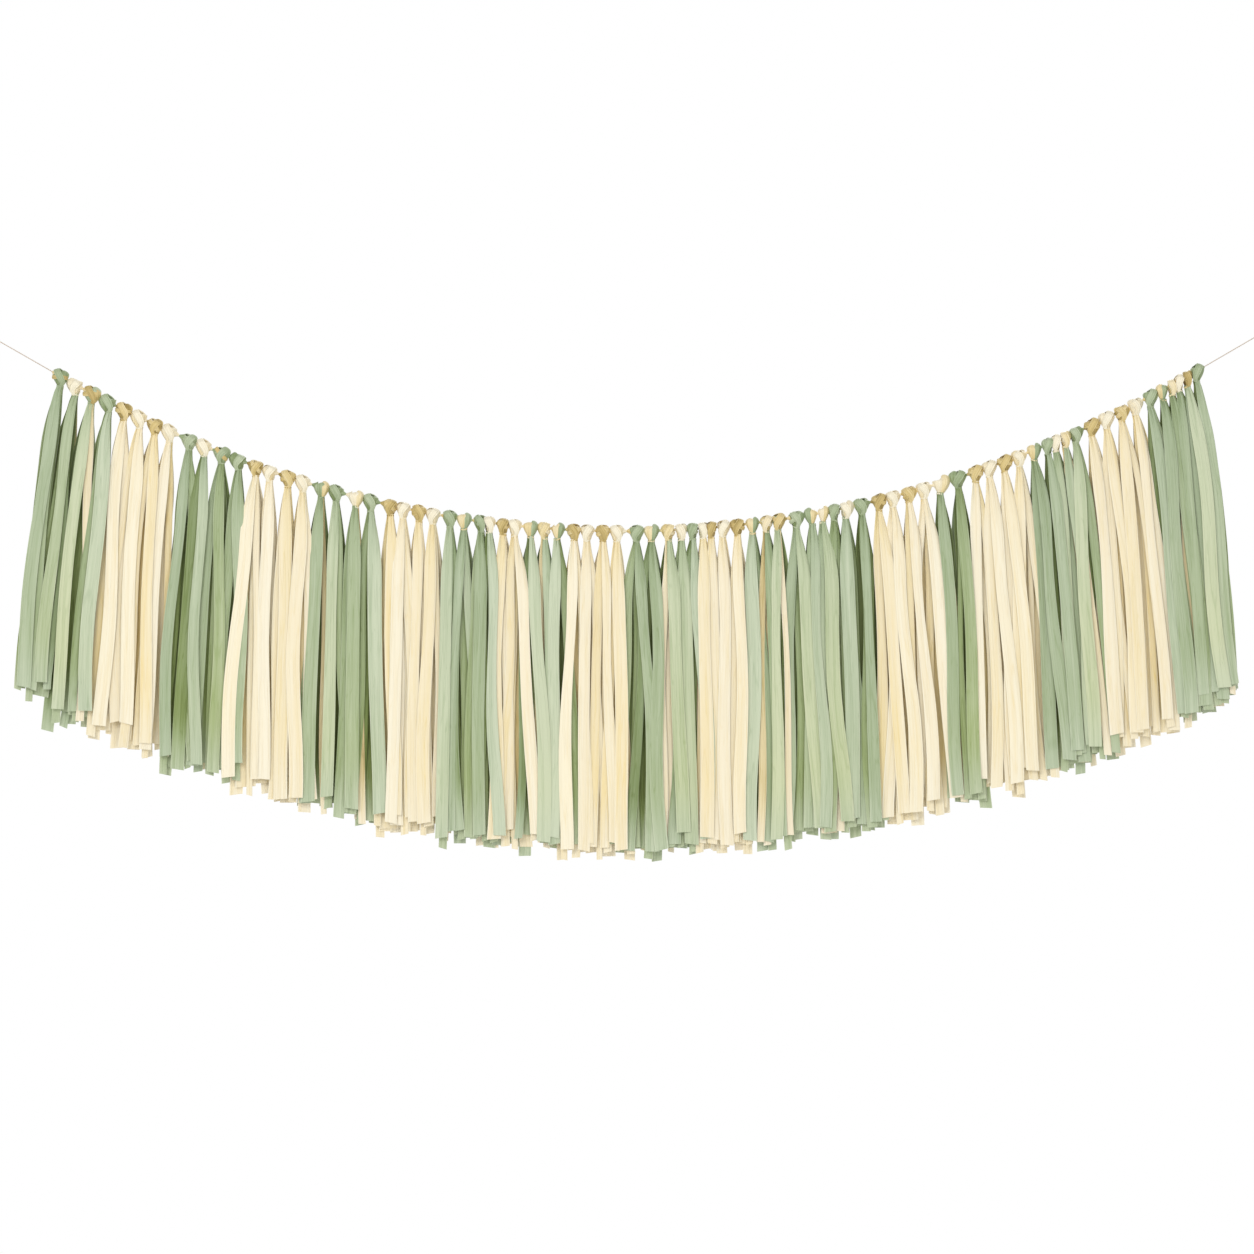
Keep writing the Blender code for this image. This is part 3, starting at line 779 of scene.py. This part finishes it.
# The tails, the strips that hang from the knots. Each is gathered where the neck holds it, opens
# to its full width within a hand's breadth, and hangs almost straight to an end cut by hand.
TAIL_SETTINGS = {
    "Thickness": PAPER_THICK, "Points round": 14, "Steps": 4, "Pleats": 2.5, "Crinkle": 0.0004,
    "Crease": 0.9,
}
TAIL_DROPS = (0.0092, 0.0120, 0.0155, 0.0200, 0.0270, 0.0370, 0.0500, 0.0680, 0.0950)
TAIL_LOWER_SHARES = (0.16, 0.36, 0.56, 0.76, 0.93, 1.0)
FLARE = 0.058  # below the neck, where a strip has opened
OPENING_POWER = 1.6  # above 1, a strip opens sooner
LEAN_POWER = 0.75  # below 1, the bunches lean outward sooner near their knots
ASIDE_SHARE = 0.25  # of its way to the side, how much a strip makes where it opens
SWAY = 0.0038
SWAY_WAVE = 7  # radians from the neck to the tip
SWAY_PHASES = (0, 6)
DEPTH_SWAY = 0.0003
TURN = 3.5  # degrees that a strip faces away from the front at most
NARROWINGS = (0.0, 0.08, 0.16, 0.30)  # how much slimmer a strip is folded between its ends
NARROW_RUN = 1.25  # above 1, it has its full width again before its tip
NARROW_POWER = 0.8  # below 1, it is slimmest nearer its neck
CUT_SLANT = 0.0012
NECK_ASIDE = 0.0007
NECK_FAN = 0.024  # the farther aside a strip goes, the more it is turned in the neck
NECK_HALF = 0.0027
NECK_STACK = 0.22  # depth between strips in the neck, of that where they have opened
NECK_BOW = 0.0012
NECK_PLEAT = 0.0007
NECK_WARMTH = 0.4  # of a strip's warmth lower down
TAIL_BOWS = (0.0001, 0.0006)
TAIL_PLEAT = 0.00006
TIP_TONE = 0.80  # of the middle strips near their tips, where light reaches them
LIT_SHARES = (0.86, 0.98)  # where the tips begin to get light and have all of it
LIT_COOLING = 0.6


def tail(centre, tip_x, lean, drop, depth, half, facing, tone, inside, warmth):
    """One strip from its neck to its tip."""
    number = chance.uniform(*GRAIN_NUMBERS)
    turn_low, turn_high = [math.radians(chance.uniform(-TURN, TURN)) for _ in range(2)]
    sway = chance.uniform(-SWAY, SWAY)
    phase = chance.uniform(*SWAY_PHASES)
    bow = chance.uniform(*TAIL_BOWS)
    narrow = chance.choice(NARROWINGS)
    cut = chance.uniform(-CUT_SLANT, CUT_SLANT)
    aside = tip_x - centre.x - lean
    neck_turn = math.atan2(aside, NECK_FAN)
    drops = [*TAIL_DROPS, *[mix(TAIL_DROPS[-1], drop, share) for share in TAIL_LOWER_SHARES]]
    points = []
    for down in drops:
        below = max(0, down - NECK_DROP)
        opened = 1 - (1 - min(1, below / FLARE)) ** OPENING_POWER
        straight = below / (drop - NECK_DROP)
        x = centre.x + lean * straight ** LEAN_POWER + aside * mix(straight, opened, ASIDE_SHARE)
        x += math.copysign(NECK_ASIDE, aside) * (1 - opened)
        x += sway * math.sin(phase + SWAY_WAVE * straight) * mix(opened, straight, 0.5)
        y = mix(depth * NECK_STACK, depth, opened)
        y += DEPTH_SWAY * math.sin(phase * 2 + SWAY_WAVE * straight) * opened
        turn = mix(neck_turn, mix(turn_high, turn_low, straight), opened)
        slim = 1 - narrow * math.sin(math.pi * min(1, straight * NARROW_RUN) ** NARROW_POWER) ** 2
        lit = min(1, max(0, (straight - LIT_SHARES[0]) / (LIT_SHARES[1] - LIT_SHARES[0])))
        points.append(guide_point(
            Vector((x, y, centre.z - down)), Vector((math.sin(turn), facing * math.cos(turn), 0)),
            mix(NECK_HALF, half * slim, opened), down,
            mix(tone, max(tone, TIP_TONE), lit) - NECK_SHADE * (1 - opened), number,
            mix(NECK_BOW, bow, opened), NECK_PLEAT * (1 - opened) + TAIL_PLEAT,
            cut=cut if down == drops[-1] else 0.0, shade=inside * (1 - lit),
            warm=warmth * mix(NECK_WARMTH, 1, straight) * (1 - LIT_COOLING * lit)))
    return points


# The tassels, from left to right. Each has a knot or two that touch, as wide as their neighbours
# leave them room, and six strips below each knot. These keep to a lane, which leans outward
# towards the garland's ends, and hang past those of the next knot in depths that take turns.
KNOT_WIDTH = 0.0156
KNOT_PRESS = 0.0012  # how far two touching knots press into each other
BARE_TWINE = 0.0010  # between knots that don't touch
# Each knot's place across the fringe, from 0 at its left end to 1 at its right end
KNOT_PLACE_SHARES = (
    0.006, 0.019, 0.033, 0.048, 0.061, 0.075, 0.088, 0.101, 0.118, 0.131,
    0.146, 0.161, 0.176, 0.188, 0.204, 0.217, 0.233, 0.246, 0.263, 0.276,
    0.293, 0.304, 0.318, 0.330, 0.345, 0.357, 0.372, 0.379, 0.391, 0.401,
    0.415, 0.427, 0.438, 0.453, 0.464, 0.478, 0.490, 0.507, 0.520, 0.535,
    0.546, 0.556, 0.565, 0.572, 0.582, 0.595, 0.608, 0.620, 0.630, 0.646,
    0.660, 0.669, 0.679, 0.689, 0.703, 0.718, 0.730, 0.744, 0.757, 0.771,
    0.787, 0.802, 0.814, 0.827, 0.840, 0.853, 0.865, 0.872, 0.880, 0.889,
    0.903, 0.916, 0.929, 0.941, 0.954, 0.965, 0.973, 0.979, 0.986, 0.994,
)
# What the knots of each tassel look like, as keys of LOOKS
KNOT_LOOKS = ("gc qG oc oc dc gG oc oc wG pG oc oc Gm dc oc mt m oc oc Gm t cd co co m tq dw pd cG oc "
              "oc pG oc oc m dc tG oc oc Gm tc oG").split()
TAILS = 6
MIDDLE = (2, 3)  # the strips inside a bunch, from the front
WIDE = 3  # the strip that backs the gaps between the others; it hangs straight
TIP_ZONE = 0.2  # below the twine, where only strips are
PHASES = 3  # how many bunches take turns in depth
LAYER_PITCH = 0.0012
LANE_OVERLAP = 0.0042  # how far a knot's strips spread past its own lane
# Where a strip hangs across its lane, front to back: the front two of a bunch hang apart, or one
# lies over the middle, or both swing to the same side
HANGS = (
    (-1.00, 0.95, 0.10, 0.00, -0.95, 1.00),
    (-0.65, 1.15, 0.35, -0.10, 0.90, -0.90),
    (0.05, 0.95, -0.85, 0.10, -0.60, 0.80),
    (0.60, -1.05, 0.80, 0.00, 0.70, -0.80),
)
HANG_WANDER = 0.25
WIDE_STEADINESS = 0.2  # the wide strip wanders this share of that
STRAYS = (0, 0, 0, 0, -0.6, 0.6)  # now and then a strip crosses its neighbours
SHORTER = (0.011, 0.008, 0.002, 0.009, 0.000, 0.003)  # front to back, than the longest tip
UNEVEN = 0.014
STRIP_HALF = 0.0074
FIRST_SHORTER = {0: 0.018, 1: 0.010}  # the first knots at the left have shorter strips
# Widths from the least to the greatest, front to back, as shares of the full width
TAIL_WIDTH_SHARES = ((0.76, 0.98), (0.50, 0.92), (0.40, 0.62), (1.25, 1.4), (0.55, 0.92), (0.76, 0.98))
SLIVER_WIDTH_SHARES = (0.40, 0.60)
# Tones of the strips, front to back: the middle ones are darker, painted shade inside the bunch
TAIL_TONES = {
    "sage": (0.78, 0.55, 0.40, 0.37, 0.54, 0.76),
    "cream": (0.84, 0.76, 0.70, 0.66, 0.76, 0.84),
}
TONE_SPREADS = {"sage": 0.21, "cream": 0.14}
INSIDE_SHADES = {"sage": 0.24, "cream": 0.02}
WARMTHS = (0.2, 1.0)
SLIVER_TONE = 0.50
# Which strips, front to back, are of the other paper where a sage tassel has a knot of this look
SLIVERS = {
    "c": (5,), "g": (5,), "m": (4,), "o": (2,), "p": (2, 4), "q": (1,), "t": (1, 2), "w": (2,),
}

slots = {row["node"]: row["material_slot"] for row in frame["record"]["subparts"]}
bodies = frame["record"]["behaviour"]["bodies"]
knot_x = [mix(FRINGE_ENDS[0].x, FRINGE_ENDS[1].x, share) for share in KNOT_PLACE_SHARES]
knot_gaps = [KNOT_WIDTH, *[after - before for before, after in zip(knot_x, knot_x[1:])], KNOT_WIDTH]


def tip_span(node, below):
    """The lowest and highest x of a tassel's tips, and the height of its longest tip."""
    places = [vertex.co for vertex in frame["nodes"][node].data.vertices if vertex.co.z < below]
    across = [place.x for place in places]
    return min(across), max(across), min(place.z for place in places)


spans = [tip_span(bodies[joint["child"]][0], middle.z - TIP_ZONE)
         for joint, middle in zip(tassel_joints, tassel_places)]


def bunch_lines(number, look, centre, own, lean, tip_z):
    """The six strips below a knot, as guide lines for each colour."""
    lines = {"sage": [], "cream": []}
    lane_half = (knot_gaps[number] + knot_gaps[number + 1]) / 4 + LANE_OVERLAP
    lane_middle = knot_x[number] + (knot_gaps[number + 1] - knot_gaps[number]) / 4
    mirror = chance.choice((-1, 1))
    hang = chance.choice(HANGS)
    for n in range(TAILS):
        order = PHASES * n + number * 2 % PHASES
        depth = (order - (PHASES * TAILS - 1) / 2) * LAYER_PITCH
        wander = HANG_WANDER * (WIDE_STEADINESS if n == WIDE else 1)
        share = mirror * hang[n] + chance.uniform(-wander, wander)
        share += 0 if n in MIDDLE else chance.choice(STRAYS)
        drop = centre.z - tip_z - SHORTER[n] - chance.uniform(0, UNEVEN)
        drop -= FIRST_SHORTER.get(number, 0)
        sliver = own == "sage" and n in SLIVERS.get(look, ())
        widths = SLIVER_WIDTH_SHARES if sliver else TAIL_WIDTH_SHARES[n]
        half = STRIP_HALF * chance.uniform(*widths)
        tip_x = lane_middle + lean + share * lane_half
        tip_x = min(max(tip_x, spans[0][0] + half), spans[-1][1] - half)
        tone = SLIVER_TONE if sliver else TAIL_TONES[own][n]
        tone += chance.uniform(-1, 1) * TONE_SPREADS[own]
        # The middle strips take all of the warm run, as painted shade inside the bunch; the others a warmth drawn
        # at random
        warmth = 0 if sliver else 1 if n in MIDDLE else chance.uniform(*WARMTHS)
        paper = "cream" if sliver else own
        facing = -1 if n < TAILS / 2 else 1
        lines[paper].append(tail(centre, tip_x, lean, drop, depth, half, facing, tone,
                                 INSIDE_SHADES[paper], warmth))
    return lines


first = 0
for joint, middle, looks, span in zip(tassel_joints, tassel_places, KNOT_LOOKS, spans):
    body = joint["child"]
    node = bodies[body][0]
    own = "sage" if slots[node] == "sage_paper" else "cream"
    run = Vector(joint["axis"]).normalized()
    climb = math.atan2(run.z, run.x)
    numbers = range(first, first + len(looks))
    first += len(looks)
    low_x, high_x, tip_z = span
    lane_edges = [knot_x[numbers[0]] - knot_gaps[numbers[0]] / 2,
                  knot_x[numbers[-1]] + knot_gaps[numbers[-1] + 1] / 2]
    lean = (low_x + high_x - sum(lane_edges)) / 2
    knots = {"sage": [], "cream": []}
    tails = {"sage": [], "cream": []}
    for number, look in zip(numbers, looks):
        centre = middle + run * ((knot_x[number] - middle.x) / run.x)
        room = [gap / run.x / 2 for gap in knot_gaps[number:number + 2]]
        partners = (number - 1 in numbers, number + 1 in numbers)
        reaches = [half + KNOT_PRESS / 2 if partner else min(KNOT_WIDTH, 2 * half - BARE_TWINE) / 2
                   for half, partner in zip(room, partners)]
        for paper, lines in knot_lines(look, centre, climb, reaches, room).items():
            knots[paper] += lines
        for paper, lines in bunch_lines(number, look, centre, own, lean, tip_z).items():
            tails[paper] += lines
    for what, groups, settings in (("knots", knots, WRAP_SETTINGS), ("tails", tails, TAIL_SETTINGS)):
        for paper, lines in groups.items():
            if lines:
                piece = grow(f"{body}_{paper}_{what}", lines, paper_strips,
                             {**settings, "Material": papers[paper]})
                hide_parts(node)
                paper + "_paper"
                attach(piece, body)
